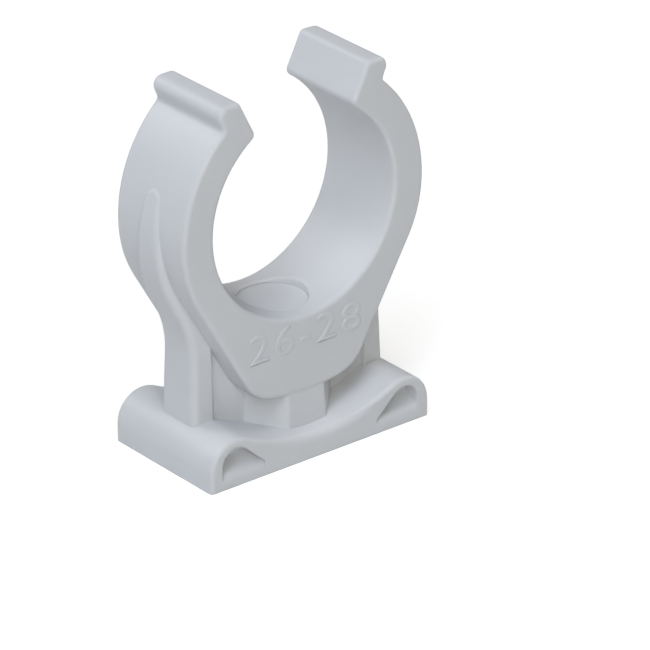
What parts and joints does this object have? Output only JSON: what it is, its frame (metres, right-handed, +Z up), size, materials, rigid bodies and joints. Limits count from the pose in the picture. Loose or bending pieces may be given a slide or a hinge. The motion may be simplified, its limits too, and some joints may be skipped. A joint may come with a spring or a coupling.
{
  "type": "pipe clip",
  "caption": "Snap-in pipe clip: an open ring with beaded lips and a deep body, on columns and a screw boss that stand on a flat base.",
  "frame": {"origin": "middle of the base's underside, on the axis of the screw hole", "axes": "+X across the pipe, +Y along the pipe, +Z up from the wall to the mouth of the ring"},
  "size_m": [0.0356, 0.0178, 0.0456],
  "materials": {
    "white_moulding": "white moulded plastic with a fine satin surface"
  },
  "bodies": {
    "root": {"clip_body": "white_moulding"}
  },
  "joints": []
}
